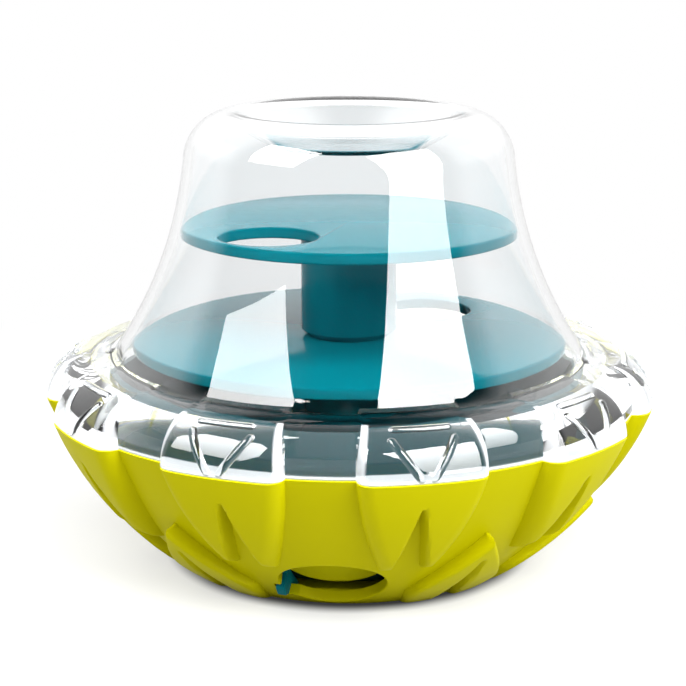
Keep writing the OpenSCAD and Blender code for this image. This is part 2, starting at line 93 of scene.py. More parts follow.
# Dome: radius of the shoulder's middle, roundings of shoulder and dish, and depth and slope of the dish
SHOULDER, SHOULDER_ROUND, DISH_ROUND, DISH_DEPTH, DISH_SLOPE, DISH_CORNER = 31.2, 13, 8, 6.8, 35, 2.5
# Flare: radius of its arc, slope where it leaves the shoulder, and the gap between its foot and the flange
FLARE, NECK_SLOPE, FLARE_GAP = 112, 6, 0.8
# Plain flange: its outline's power, where 2 is round; the joint line under it and the rounding of its foot
FLANGE_POWER, JOINT_LINE, FLANGE_FOOT_ROUND = 3.2, 0.1, 0.7
# Ribs on a lobe: height and half length of the bar, and places across and up of a slanting rib's two ends
BAR_HEIGHT, BAR_REACH = 11.6, 6.6
RIB_TOP, RIB_FOOT = (7.6, 9.8), (1.6, 1.6)

# Tiers: top and foot of the lower one, thickness of the discs, tube, bore and bevel, peg, and treat holes
LOWER_TOP, LOWER_FOOT, DISC = 60.9, 24.0, 3
TUBE, BORE, TUBE_BEVEL = 13, 10.5, 1.6
PEG, PEG_WALL, PEG_HEIGHT = 10.44, 2.5, 12
TREAT_HOLE, HOLE_ROUND, UPPER_HOLE, LOWER_HOLE = 12.8, 0.5, (-18.47, -23.64), (19.88, 30.61)

# Screws: number, radius of their circle, head, shank, heights of the head's ends, and the shank's end
SCREW_COUNT, SCREW_CIRCLE, SCREW_HEAD, SCREW_SHANK = 3, 19, 3.2, 1.6
HEAD_LOW, HEAD_HIGH, SHANK_END, SCREW_CLEARANCE = 0.5, 1.9, 13.9, 0.2

# Camera fitted to the photograph, in pixels of its frame
FRAME_PIXELS, FOCAL_PIXELS, SHIFT_PIXELS, SENSOR = 686, 1832.8, -6, 36.0


def length(name, description, default):
    return FloatProperty(name=name, description=description, default=default, min=0.0, precision=5,
                         unit="LENGTH")


def slant(name, description, degrees):
    return FloatProperty(name=name, description=description, default=math.radians(degrees), subtype="ANGLE")


def strength(name, description, default):
    return FloatProperty(name=name, description=description, default=default, min=0.0)


def colour(name, description, default):
    return FloatVectorProperty(name=name, description=description, default=default, min=0.0, max=1.0, size=3,
                               subtype="COLOR")


class BowlSizes(bpy.types.PropertyGroup):
    """Sizes of the lime bowl"""
    rim_height: length("Rim height", "Height of the plane where the dome meets the bowl", RIM)
    lobe_radius: length("Lobe radius", "Radius over the lobes at the rim", 0.0825)
    lobe_relief: length("Lobe relief", "How far the lobes stand proud at the rim", 0.0045)
    foot_radius: length("Foot radius", "Radius of the plain foot", 0.045)
    petal_relief: length("Petal relief", "How far the petals stand proud at the floor", 0.002)
    core_arc: length("Bowl arc", "Radius of the plain bowl's outline", 0.126)
    lobe_arc: length("Lobe arc", "Radius of the outline over the lobes and petals", 0.09)
    wall: length("Wall", "Wall of the bowl", 0.003)
    tip_height: length("Tip height", "Height where a lobe's two legs end", 0.0155)
    split_height: length("Split height", "Height of the point of the split between a lobe's legs", 0.036)
    petal_height: length("Petal height", "Height of a petal's point", 0.024)
    shoulder_height: length("Shoulder height", "Height where a petal is widest", 0.006)
    edge: length("Edge rounding", "Width over which a lobe's edge is rounded", 0.004)
    petal_edge: length("Petal rounding", "Width over which a petal's edge is rounded", 0.002)
    split_edge: length("Split rounding", "Width over which the edges of the splits are rounded", 0.001)
    foot_round: length("Foot rounding", "Rounding of the edge on the floor", 0.0006)
    outlet_round: length("Outlet rounding", "Rounding of the outlet's edge", 0.0005)
    lobe_count: IntProperty(name="Lobes", description="Number of lobes round the rim", default=10, min=3)


class DomeSizes(bpy.types.PropertyGroup):
    """Sizes of the clear dome"""
    crest_height: length("Crest height", "Height of the dome's crest", CREST)
    wall: length("Wall", "Wall of the dome", 0.0024)
    flange_height: length("Flange height", "Height of the lobed flange", 0.013)
    rib_radius: length("Rib radius", "Radius of the raised ribs on the lobes", 0.0012)
    rib_rise: length("Rib rise", "How far the ribs stand out of the lobes", 0.0008)


class Finish(bpy.types.PropertyGroup):
    """Colours of the mouldings"""
    lime: colour("Lime", "Colour of the bowl", (0.55, 0.515, 0.0))
    teal: colour("Teal", "Colour of the tiers and the gate", (0.0, 0.165, 0.208))
    # The tray's colour is the tiers' teal darkened to about a third, a painted shade for the dark inside
    # under the discs and flange
    shaded_tray: colour("Tray", "Colour of the tray", (0.0, 0.05, 0.062))
    clear: colour("Clear", "Tint of the clear dome", (0.985, 0.992, 0.996))
    iron: colour("Iron", "Colour of the ballast", (0.08, 0.08, 0.085))
    steel: colour("Steel", "Colour of the screws", (0.55, 0.55, 0.56))


class Studio(bpy.types.PropertyGroup):
    """Camera and light"""
    distance: length("Distance", "Camera's distance from the axis", 0.4868)
    height: length("Height", "Camera's height above the floor", 0.1807)
    turn: slant("Turn", "Angle of the camera round the toy", 5.0)
    pitch: slant("Pitch", "Angle that the camera looks down", 14.14)
    fill: strength("Fill", "Light from all round", 0.4)
    inside: strength("Inside", "Light from all round that reaches the inside", 0.05)
    dark: strength("Dark", "Brightness of the room behind the camera in reflections", 0.03)
    backlight: strength("Backlight", "Brightness high behind the toy in reflections", 1.7)
    softbox: strength("Softbox", "Brightness of the softboxes in reflections", 16.0)


def arc_centre(p, q, r):
    """Centre of the arc of radius r from p to q, on the left of the way from p to q."""
    p, q = np.array(p, float), np.array(q, float)
    d = q - p
    n = np.linalg.norm(d)
    return (p + q) / 2 + math.sqrt(r * r - n * n / 4) / n * np.array([-d[1], d[0]])


def arc(centre, r, start, end, steps):
    """Points along an arc, angles in degrees, both ends included."""
    a = np.radians(np.linspace(start, end, steps + 1))
    return np.stack([centre[0] + r * np.cos(a), centre[1] + r * np.sin(a)], axis=1)


def rounded(points, radii, steps=4):
    """A line of radius and height with each corner rounded by its own radius."""
    points = [np.array(p, float) for p in points]
    out = []
    for i, (p, r) in enumerate(zip(points, radii)):
        if r == 0 or i in (0, len(points) - 1):
            out.append(p)
            continue
        a, b = points[i - 1] - p, points[i + 1] - p
        a, b = a / np.linalg.norm(a), b / np.linalg.norm(b)
        half = math.acos(np.clip(a @ b, -1, 1)) / 2
        cut = r / math.tan(half)
        middle = p + (a + b) / np.linalg.norm(a + b) * r / math.sin(half)
        s, e = p + a * cut - middle, p + b * cut - middle
        turn = math.atan2(s[0] * e[1] - s[1] * e[0], s @ e)
        for k in range(steps + 1):
            t = turn * k / steps
            c, n = math.cos(t), math.sin(t)
            out.append(middle + np.array([c * s[0] - n * s[1], n * s[0] + c * s[1]]))
    return np.array(out)


def rise(distance, width):
    """Height from 0 to 1 at a distance inside an edge that is rounded over a width."""
    return np.sqrt(1 - (1 - np.clip(distance / width, 0.0, 1.0)) ** 2)


def inside(outline, x, y):
    """Signed distance to a closed outline, positive inside it."""
    outline = np.array(outline, float)
    least = np.full(x.shape, 1e9)
    crossings = np.zeros(x.shape, int)
    for (ax, ay), (bx, by) in zip(outline, np.roll(outline, -1, axis=0)):
        dx, dy = bx - ax, by - ay
        t = np.clip(((x - ax) * dx + (y - ay) * dy) / (dx * dx + dy * dy), 0, 1)
        least = np.minimum(least, np.hypot(x - ax - t * dx, y - ay - t * dy))
        over = (ay > y) != (by > y)
        if dy:
            crossings += over & (x < ax + (y - ay) * dx / dy)
    return np.where(crossings % 2 == 1, least, -least)


def ring(radius, height, angles):
    """Points round the axis, with angles from -Y towards +X."""
    r = np.broadcast_to(np.asarray(radius, float), angles.shape)
    z = np.broadcast_to(np.asarray(height, float), angles.shape)
    return np.stack([r * np.sin(angles), -r * np.cos(angles), z], axis=1)


def pole(height):
    """A single point on the axis."""
    return np.array([[0.0, 0.0, height]])


def new_object(name, points, faces):
    """A mesh object in the scene, from points in metres."""
    mesh = bpy.data.meshes.new(name)
    mesh.from_pydata(np.asarray(points, float).tolist(), [], faces)
    thing = bpy.data.objects.new(name, mesh)
    bpy.context.scene.collection.objects.link(thing)
    return thing


def skin(name, rings):
    """A closed mesh object over rings of points; the first and the last entries are single points."""
    n = len(rings[1])
    j = np.arange(n)
    k = (j + 1) % n
    starts = 1 + n * np.arange(len(rings) - 2)
    last, end = starts[-1], starts[-1] + n
    faces = np.stack([np.zeros(n, int), 1 + k, 1 + j], axis=1).tolist()
    for low, high in zip(starts, starts[1:]):
        faces += np.stack([low + j, low + k, high + k, high + j], axis=1).tolist()
    faces += np.stack([last + j, last + k, np.full(n, end)], axis=1).tolist()
    thing = new_object(name, np.concatenate(rings) * MM, faces)
    thing.data.validate()
    return thing


def turned(name, profile, columns=160):
    """A turned solid from a line of radius and height that starts and ends on the axis."""
    angles = np.linspace(0, 2 * math.pi, columns, endpoint=False)
    start, *middle, end = profile
    return skin(name, [pole(start[1]), *[ring(r, z, angles) for r, z in middle], pole(end[1])])


def tube(name, path, radius, sides=14):
    """A round bar along a path of points, with round ends."""
    path = np.array(path, float)
    steps = np.gradient(path, axis=0)
    steps /= np.linalg.norm(steps, axis=1)[:, None]
    across = np.cross(steps, [0.0, 0.0, 1.0])
    across /= np.linalg.norm(across, axis=1)[:, None]
    above = np.cross(across, steps)
    a = np.linspace(0, 2 * math.pi, sides, endpoint=False)
    circle = np.cos(a)[:, None, None] * across + np.sin(a)[:, None, None] * above
    caps = np.radians([20, 45, 70])

    def cap(i, way, t):
        return path[i] + way * radius * math.cos(t) * steps[i] + radius * math.sin(t) * circle[:, i]

    thing = skin(name, [path[:1] - radius * steps[:1], *[cap(0, -1, t) for t in caps],
                        *[path[i] + radius * circle[:, i] for i in range(len(path))],
                        *[cap(-1, 1, t) for t in caps[::-1]], path[-1:] + radius * steps[-1:]])
    point_outwards(thing)
    return thing


def box_solid(name, low, high, turn=0.0):
    """A block between two corners, turned about the axis."""
    x0, y0, z0 = low
    x1, y1, z1 = high
    points = [(x, y, z) for x in (x0, x1) for y in (y0, y1) for z in (z0, z1)]
    faces = [(0, 1, 3, 2), (4, 6, 7, 5), (0, 4, 5, 1), (2, 3, 7, 6), (0, 2, 6, 4), (1, 5, 7, 3)]
    thing = new_object(name, np.array(points) * MM, faces)
    thing.data.transform(Matrix.Rotation(turn, 4, "Z"))
    point_outwards(thing)
    return thing


def point_outwards(thing):
    """Turns a closed mesh the right way out."""
    b = bmesh.new()
    b.from_mesh(thing.data)
    bmesh.ops.recalc_face_normals(b, faces=b.faces)
    b.to_mesh(thing.data)
    b.free()


def take_mesh(thing, modifier):
    """Makes a modifier's result the object's own mesh."""
    bpy.context.view_layer.update()
    done = thing.evaluated_get(bpy.context.evaluated_depsgraph_get())
    mesh = bpy.data.meshes.new_from_object(done)
    thing.modifiers.remove(modifier)
    old = thing.data
    thing.data = mesh
    bpy.data.meshes.remove(old)


def carve(thing, tool, operation="DIFFERENCE"):
    """Cuts a tool out of a solid, or joins it on, and removes the tool."""
    step = thing.modifiers.new("carve", "BOOLEAN")
    step.solver = "MANIFOLD"
    step.operation = operation
    step.object = tool
    take_mesh(thing, step)
    mesh = tool.data
    bpy.data.objects.remove(tool)
    bpy.data.meshes.remove(mesh)
    if not thing.data.polygons:
        raise RuntimeError(f"carving left nothing of {thing.name}")


def join(things):
    """One object from several, each a separate closed solid."""
    with bpy.context.temp_override(active_object=things[0], selected_editable_objects=things):
        bpy.ops.object.join()
    return things[0]


class Wiring:
    """Short ways to place and link the nodes of a tree."""

    def __init__(self, tree):
        self.tree = tree

    def feed(self, socket, value):
        """Links an output to a socket, or writes a plain value on it; None leaves it as it is."""
        if isinstance(value, bpy.types.NodeSocket):
            self.tree.links.new(value, socket)
        elif value is not None:
            socket.default_value = value

    def add(self, kind, *values, named=None, **settings):
        """A node with its settings, and its inputs fed in order or by name."""
        node = self.tree.nodes.new(kind)
        for name, value in settings.items():
            setattr(node, name, value)
        for socket, value in zip(node.inputs, values):
            self.feed(socket, value)
        for name, value in (named or {}).items():
            self.feed(node.inputs[name], value)
        return node

    def put(self, kind, *values, **settings):
        """A node as from add, but gives its first output."""
        return self.add(kind, *values, **settings).outputs[0]

    def math(self, operation, *values):
        return self.put("ShaderNodeMath", *values, operation=operation)

    def ramp(self, value, low, high, at_low=0.0, at_high=1.0, kind="SMOOTHSTEP"):
        """Takes a value from one range to another, and holds it at the ends."""
        return self.put("ShaderNodeMapRange", value, low, high, at_low, at_high, interpolation_type=kind)

    def mix(self, share, first, second):
        return self.put("ShaderNodeMix", share, None, first, second)

    def mix_colour(self, share, first, second):
        unused = [None] * 5
        return self.add("ShaderNodeMix", share, *unused, first, second, data_type="RGBA").outputs[2]

    def mix_shader(self, share, first, second):
        return self.put("ShaderNodeMixShader", share, first, second)

    def place(self, axes=False):
        """Object coordinates, as one output or as three."""
        spot = self.add("ShaderNodeTexCoord").outputs["Object"]
        return self.add("ShaderNodeSeparateXYZ", spot).outputs if axes else spot


def around_axis():
    """The node tree that repeats a solid round the toy's axis."""
    tree = bpy.data.node_groups.get("Round the axis")
    if tree:
        return tree
    tree = bpy.data.node_groups.new("Round the axis", "GeometryNodeTree")
    for name, kind in (("Geometry", "Geometry"), ("Count", "Int"), ("First angle", "Float"),
                       ("Material", "Material")):
        tree.interface.new_socket(name, in_out="INPUT", socket_type="NodeSocket" + kind)
    tree.interface.new_socket("Geometry", in_out="OUTPUT", socket_type="NodeSocketGeometry")
    wires = Wiring(tree)
    solid, count, first, material = wires.add("NodeGroupInput").outputs[:4]
    index = wires.put("GeometryNodeInputIndex")
    angle = wires.math("MULTIPLY_ADD", index, wires.math("DIVIDE", 2 * math.pi, count), first)
    spin = wires.put("ShaderNodeCombineXYZ", named={"Z": angle})
    turn = wires.put("FunctionNodeEulerToRotation", spin)
    points = wires.put("GeometryNodePoints", named={"Count": count})
    copies = wires.put("GeometryNodeInstanceOnPoints",
                       named={"Points": points, "Instance": solid, "Rotation": turn})
    real = wires.put("GeometryNodeRealizeInstances", copies)
    paint = wires.put("GeometryNodeSetMaterial", named={"Geometry": real, "Material": material})
    wires.add("NodeGroupOutput", paint)
    return tree


def repeat_round(thing, count, first, material):
    """Repeats a solid round the axis and keeps the result as plain mesh."""
    step = thing.modifiers.new("round", "NODES")
    step.node_group = around_axis()
    names = {s.name: s.identifier for s in step.node_group.interface.items_tree if s.in_out == "INPUT"}
    step[names["Count"]] = count
    step[names["First angle"]] = first
    step[names["Material"]] = bpy.data.materials[material]
    take_mesh(thing, step)


def smooth(thing, angle=35.0):
    thing.data.shade_smooth()
    thing.data.set_sharp_from_angle(angle=math.radians(angle))


def dress(thing, material):
    """Gives an object one material, by its name."""
    thing.data.materials.clear()
    thing.data.materials.append(bpy.data.materials[material])


def hand_in(thing, material, body, slot, *nodes):
    """Finishes a piece: its material, its body and the nodes it stands for; the slot is not used."""
    dress(thing, material)
    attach(thing, body)
    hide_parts(*nodes)


class BowlForm:
    """The bowl's outlines, in millimetres, shared by the bowl and the dome's flange."""

    def __init__(self):
        sizes = bpy.context.scene.bowl_sizes

        def mm(*names):
            return [getattr(sizes, name) / MM for name in names]

        self.rim, self.foot, self.top_radius, self.relief = mm("rim_height", "foot_radius", "lobe_radius",
                                                               "lobe_relief")
        self.core_arc, self.lobe_arc, petal_relief = mm("core_arc", "lobe_arc", "petal_relief")
        self.edge, self.petal_edge, self.split_edge = mm("edge", "petal_edge", "split_edge")
        self.tips, self.split, self.point, self.shoulder = mm("tip_height", "split_height", "petal_height",
                                                              "shoulder_height")
        self.foot_round, self.outlet_round, self.wall = mm("foot_round", "outlet_round", "wall")
        self.core_rim = self.top_radius - self.relief
        self.core_centre = arc_centre((self.foot, 0), (self.core_rim, self.rim), self.core_arc)
        self.lobe_centre = arc_centre((self.foot + petal_relief, 0), (self.top_radius, self.rim),
                                      self.lobe_arc)
        self.socket = float(self.core(SOCKET_FLOOR)) - SOCKET_WALL
        self.count = sizes.lobe_count
        self.pitch = 2 * math.pi / self.count

    def core(self, z, inset=0.0):
        return self.core_centre[0] + np.sqrt((self.core_arc - inset) ** 2 - (z - self.core_centre[1]) ** 2)

    def lobe(self, z):
        return self.lobe_centre[0] + np.sqrt(self.lobe_arc ** 2 - (z - self.lobe_centre[1]) ** 2)

    def from_lobe(self, angles):
        """Angle from the middle of the nearest lobe."""
        return np.mod(angles, self.pitch) - self.pitch / 2

    def from_petal(self, angles):
        """Angle from the middle of the nearest petal."""
        return np.mod(angles + self.pitch / 2, self.pitch) - self.pitch / 2

    def lobe_side(self, z):
        """Half width of a lobe at a height, through its width at the rim, halfway and at its tips."""
        heights = [self.rim, LOBE_WAIST[0], self.tips]
        widths = [self.top_radius * math.sin(math.radians(LOBE_HALF_ANGLE)), LOBE_WAIST[1], LOBE_TIP]
        return np.polyval(np.polyfit(heights, widths, 2), z)

    def lobe_split(self, z):
        """Half width of the split between a lobe's legs."""
        return LOBE_SPLIT * np.maximum(self.split - z, 0.0) / (self.split - self.tips)

    def petal_side(self, z):
        """Half width of a petal at a height."""
        return np.interp(z, [0.0, self.shoulder, self.point], [PETAL_FOOT, PETAL_SHOULDER, 0.0])

    def petal_split(self, z):
        """Half width of a petal's split."""
        return PETAL_SPLIT * np.maximum(self.tips - z, 0.0) / self.tips

    def columns(self, z, counts=(5, 16, 8, 12, 5)):
        """Angles round the axis at a height, closest along the edges of lobes, petals and splits.

        The counts are the columns from a lobe's middle to its split, its side, a petal's side, the petal's
        split and the petal's middle.
        """
        half, radius = self.pitch / 2, float(self.lobe(z))
        split, side, petal, cleft = (math.asin(float(w(z)) / radius) for w in
                                     (self.lobe_split, self.lobe_side, self.petal_side, self.petal_split))
        fan = np.interp(z, [self.point, self.rim], [0.0, 0.5]) * (half - side)
        marks = [0.0, split, side, half - petal - fan, half - cleft - fan / 2, half]
        if z < self.tips:
            marks[1], marks[2] = min(split, 0.35 * marks[3]), min(side, 0.7 * marks[3])
        apart, crowding = 0.4, 0.65
        least = apart / radius
        for i in (1, 2, 3, 4):
            marks[i] = max(marks[i], marks[i - 1] + least)
        for i in (4, 3, 2, 1):
            marks[i] = min(marks[i], marks[i + 1] - least)
        one = []
        for low, high, count in zip(marks, marks[1:], counts):
            t = np.arange(count) / count
            eased = (1 - crowding) * t + crowding / 2 * (1 - np.cos(math.pi * t))
            one.append(low + (high - low) * eased)
        one = np.concatenate([*one, [half]])
        sector = np.concatenate([-one[:0:-1], one[:-1]])
        return np.concatenate([self.pitch * (i + 0.5) + sector for i in range(self.count)])

    def lobe_mask(self, angles, z):
        """How far a point stands up with the lobes, from 0 to 1."""
        x = self.lobe(z) * np.sin(self.from_lobe(angles))
        # The outline runs on above the rim and the split below the tips, where neither has an edge
        above, below = 12, 3
        side = np.linspace(self.rim + above, self.tips, 14)
        width, low = self.lobe_side(side), self.tips - below
        face = [*zip(-width, side), *zip(width[::-1], side[::-1])]
        split = [(0.0, self.split), (-self.lobe_split(low), low), (self.lobe_split(low), low)]
        return np.minimum(rise(inside(face, x, z), self.edge), rise(-inside(split, x, z), self.split_edge))

    def petal_mask(self, angles, z):
        """How far a point stands up with the petals, from 0 to 1; the outlet takes the place of one."""
        x = self.lobe(z) * np.sin(self.from_petal(angles))
        low = -3
        face = rounded([(-PETAL_ROOT, -self.shoulder), (-PETAL_SHOULDER, self.shoulder), (0, self.point),
                        (PETAL_SHOULDER, self.shoulder), (PETAL_ROOT, -self.shoulder)], PETAL_ROUNDS)
        split = [(0.0, self.tips), (-self.petal_split(low), low), (self.petal_split(low), low)]
        up = np.minimum(rise(inside(face, x, z), self.petal_edge),
                        rise(-inside(split, x, z), self.split_edge))
        outlet = np.abs(np.mod(angles + math.pi, 2 * math.pi) - math.pi) < self.pitch / 2
        return np.where(outlet, 0.0, up)

    def outer(self, angles, z):
        """Radius of the bowl's outside."""
        z = np.broadcast_to(np.asarray(z, float), angles.shape)
        proud = np.maximum(self.lobe_mask(angles, z), self.petal_mask(angles, z))
        r = self.core(z) + (self.lobe(z) - self.core(z)) * proud
        drop = np.clip(self.foot_round - z, 0, self.foot_round)
        return r - (self.foot_round - np.sqrt(self.foot_round ** 2 - drop ** 2))

    def rim_mask(self, angles, taper=1.0):
        """How far the rim, or the flange with its tapered lobes, stands out with the lobes, from 0 to 1."""
        x = np.abs(self.top_radius * np.sin(self.from_lobe(angles)))
        return rise(self.lobe_side(self.rim) * taper - x, self.edge)


def outlet_frame():
    """The bowl's form, the outlet's place on its face, and the directions out of it and up its slope."""
    form = BowlForm()
    z = OUTLET_HEIGHT
    r = float(form.core(z))
    tilt = math.atan2(form.core_centre[1] - z, r - form.core_centre[0])
    out = np.array([0, -math.cos(tilt), -math.sin(tilt)])
    up = np.array([0, -math.sin(tilt), math.cos(tilt)])
    return form, np.array([0, -r, z]), out, up


def on_slope(points):
    """Radius and height of points given by distances up the outlet's slope and depths under the face."""
    _, place, out, up = outlet_frame()
    spots = [place + s * up - d * out for s, d in points]
    return [(-p[1], p[2]) for p in spots]


def outlet_loop(place, up, grow):
    """The outlet's outline on the slope, grown on every side."""
    a = np.linspace(0, 2 * math.pi, OUTLET_POINTS, endpoint=False)
    across = OUTLET_SHIFT + (OUTLET_HALF_WIDTH + grow) * np.cos(a)
    along = (OUTLET_HALF_LENGTH + grow) * np.sin(a)
    return place + across[:, None] * np.array([1.0, 0, 0]) + along[:, None] * up


def meets(form, loop, out, inset=0.0):
    """Distances out along the bore where a loop meets the plain bowl, or a face inset under it."""
    low, high, halvings = np.full(len(loop), -float(OUTLET_IN)), np.full(len(loop), float(OUTLET_OUT)), 40
    for _ in range(halvings):
        t = (low + high) / 2
        p = loop + t[:, None] * out
        beyond = np.hypot(p[:, 0], p[:, 1]) > form.core(p[:, 2], inset)
        high, low = np.where(beyond, t, high), np.where(beyond, low, t)
    return low


def outlet_tool(soft):
    """The solid that cuts the outlet, with a mouth that rounds the edge on the bowl's face."""
    form, place, out, up = outlet_frame()

    def loop(grow):
        return outlet_loop(place, up, grow)

    def face(grow):
        return meets(form, loop(grow), out)

    slack, proud, clear = 0.3, 0.02, 0.8
    turns = np.radians(np.linspace(0, 90, 7))
    rings = [(place - OUTLET_IN * out)[None], loop(0) - OUTLET_IN * out]
    for t in turns:
        grow = soft * (1 - math.cos(t))
        over = proud if t == turns[-1] else 0
        rings.append(loop(grow) + (face(grow) - soft + soft * math.sin(t) + over)[:, None] * out)
    wide = loop(soft + slack)
    rings += [wide + (face(soft) + clear)[:, None] * out, wide + OUTLET_OUT * out,
              (place + OUTLET_OUT * out)[None]]
    tool = skin("outlet_tool", rings)
    point_outwards(tool)
    return tool


def outlet_sleeve():
    """A thin lining of the way out through the tray, behind the gate."""
    form, place, out, up = outlet_frame()
    n = OUTLET_POINTS
    sides = [outlet_loop(place, up, -w) for w in (LINING_CLEARANCE, LINING_FACE)]
    loops = [side + meets(form, side, out, LINING_FRONT)[:, None] * out for side in sides]
    loops += [side - LINING_END * out for side in sides[::-1]]
    faces = [(p * n + i, p * n + (i + 1) % n, q * n + (i + 1) % n, q * n + i)
             for p, q in ((0, 1), (1, 2), (2, 3), (3, 0)) for i in range(n)]
    sleeve = new_object("outlet_sleeve", np.concatenate(loops) * MM, faces)
    point_outwards(sleeve)
    return sleeve


def arc_block(name, outline, start, end, steps=10):
    """A solid swept round the axis between two angles from an outline of radius and height."""
    angles = np.radians(np.linspace(start, end, steps + 1))
    r, z = np.array(outline, float).T
    rings = [np.stack([r * math.sin(t), -r * math.cos(t), z], axis=1) for t in angles]
    tool = skin(name, [rings[0].mean(axis=0)[None], *rings, rings[-1].mean(axis=0)[None]])
    point_outwards(tool)
    return tool


def shade_group():
    """The fine unevenness of a moulded or cast surface, shared by every finish here."""
    group = bpy.data.node_groups.get("Moulded surface")
    if group:
        return group
    group = bpy.data.node_groups.new("Moulded surface", "ShaderNodeTree")
    for way, names in (("INPUT", ("Grain size", "Wave size")), ("OUTPUT", ("Grain", "Wave", "Height"))):
        for name in names:
            group.interface.new_socket(name, in_out=way, socket_type="NodeSocketFloat")
    wires = Wiring(group)
    spot, detail, wave_share = wires.place(), 2.0, 0.35

    def noise(size):
        scale = wires.math("DIVIDE", 1.0, size)
        return wires.put("ShaderNodeTexNoise", named={"Vector": spot, "Scale": scale, "Detail": detail})

    grain, wave = (noise(size) for size in wires.add("NodeGroupInput").outputs[:2])
    wires.add("NodeGroupOutput", grain, wave, wires.math("MULTIPLY_ADD", wave, wave_share, grain))
    return group


def finish(name, base, rough, spread, grain, wave, bump, tone, **settings):
    """A finish whose colour drifts with the wave and roughness with the grain; both bump its face."""
    material = bpy.data.materials.new(name)
    material.use_nodes = True
    wires = Wiring(material.node_tree)
    shader = material.node_tree.nodes["Principled BSDF"]
    surface = wires.add("ShaderNodeGroup", node_tree=shade_group(),
                        named={"Grain size": grain, "Wave size": wave}).outputs
    dark, light = ((*[min(1, c * share) for c in base], 1) for share in (1 - tone, 1 + tone))
    sharpness, depth = bump
    raised = wires.put("ShaderNodeBump", named={"Strength": sharpness, "Distance": depth,
                                                "Height": surface["Height"]})
    dull = wires.ramp(surface["Grain"], 0.0, 1.0, max(0.0, rough - spread), rough + spread, "LINEAR")
    wires.feed(shader.inputs["Base Color"], wires.mix_colour(surface["Wave"], dark, light))
    wires.feed(shader.inputs["Roughness"], dull)
    wires.feed(shader.inputs["Normal"], raised)
    for socket, value in settings.items():
        shader.inputs[socket.replace("_", " ")].default_value = value
    return material


def painted_edge_highlights(material, edge, even_painted_white):
    """Mixes white into a clear material along the edges of the flange's lobes, a painted highlight for light
    caught inside the plastic, and returns its shader.
    """
    form = BowlForm()
    lobe_height = bpy.context.scene.dome_sizes.flange_height / MM - LOBE_DROP
    wires = Wiring(material.node_tree)
    work = wires.math

    def step(value, low, high):
        return wires.ramp(value, low * MM, high * MM)

    x, y, z = wires.place(axes=True)
    radius = work("SQRT", work("ADD", work("MULTIPLY", x, x), work("MULTIPLY", y, y)))
    angle = work("SUBTRACT", work("ARCTAN2", x, work("MULTIPLY", y, -1.0)), form.pitch / 2)
    off = work("ABSOLUTE", work("WRAP", angle, form.pitch / 2, -form.pitch / 2))
    up = work("DIVIDE", work("SUBTRACT", z, form.rim * MM), lobe_height * MM)
    taper = work("SUBTRACT", 1.0, work("MULTIPLY", work("MULTIPLY", up, up), LOBE_TAPER))
    across = work("DIVIDE", work("MULTIPLY", off, form.top_radius * MM), taper)
    # Painted highlight: white starts inside a lobe's side and ends past it, and lies along the foot, but not
    # on the dome's bell; a faint even share of it covers the whole flange
    start, full, past, foot_full, foot_end, bell, flange = 2.4, 1.2, 0.4, 0.8, 1.7, 72.0, 73.0
    width = float(form.lobe_side(form.rim))
    sides = work("MULTIPLY", step(across, width - start, width - full), step(across, width + past, width))
    foot = step(z, form.rim + foot_end, form.rim + foot_full)
    level = work("MAXIMUM", work("MULTIPLY", work("MAXIMUM", sides, foot), edge), even_painted_white)
    painted_white = wires.put("ShaderNodeBsdfDiffuse", (0.95, 0.97, 1.0, 1))
    clear = material.node_tree.nodes["Principled BSDF"].outputs[0]
    return wires.mix_shader(work("MULTIPLY", level, step(radius, bell, flange)), clear, painted_white)


def let_light_through(material, shader):
    """Lets lamps shine through a clear material, as they do through a thin clear wall."""
    wires = Wiring(material.node_tree)
    shadow = wires.add("ShaderNodeLightPath").outputs["Is Shadow Ray"]
    open_air = wires.put("ShaderNodeBsdfTransparent", (0.96, 0.97, 0.97, 1))
    out = material.node_tree.nodes["Material Output"].inputs["Surface"]
    wires.feed(out, wires.mix_shader(shadow, shader, open_air))


class PUZZLE_OT_finishes(bpy.types.Operator):
    """Makes the plastics and metals"""
    bl_idname = "puzzle.finishes"
    bl_label = "Finishes"

    def execute(self, context):
        paint = context.scene.finish
        finish("lime_satin", paint.lime, rough=0.5, spread=0.06, grain=0.0004, wave=0.04,
               bump=(0.12, 0.0001), tone=0.03, Specular_IOR_Level=0.03)
        finish("teal_gloss", paint.teal, rough=0.09, spread=0.03, grain=0.002, wave=0.05,
               bump=(0.02, 0.0001), tone=0.05, Specular_IOR_Level=0.1)
        finish("teal_satin", paint.teal, rough=0.4, spread=0.05, grain=0.0006, wave=0.03,
               bump=(0.06, 0.0001), tone=0.05, Specular_IOR_Level=0.06)
        # The tray's finish is a darker copy of the teal, painted shade for the inside
        finish("teal_tray", paint.shaded_tray, rough=0.2, spread=0.04, grain=0.002, wave=0.05,
               bump=(0.03, 0.0001), tone=0.05, Specular_IOR_Level=0.1)
        clear = finish("clear_styrene", paint.clear, rough=0.015, spread=0.012, grain=0.003, wave=0.03,
                       bump=(0.02, 0.0001), tone=0.004, Transmission_Weight=1.0, IOR=1.5)
        # The clear plastic gets painted highlights: white mixed in along the flange's lobe edges and foot,
        # and faintly over the whole flange
        let_light_through(clear, painted_edge_highlights(clear, edge=0.55, even_painted_white=0.022))
        finish("cast_iron", paint.iron, rough=0.6, spread=0.15, grain=0.0008, wave=0.01,
               bump=(0.5, 0.0002), tone=0.3, Metallic=0.7)
        finish("bright_steel", paint.steel, rough=0.32, spread=0.1, grain=0.0003, wave=0.005,
               bump=(0.1, 0.00005), tone=0.1, Metallic=1.0)
        return {"FINISHED"}


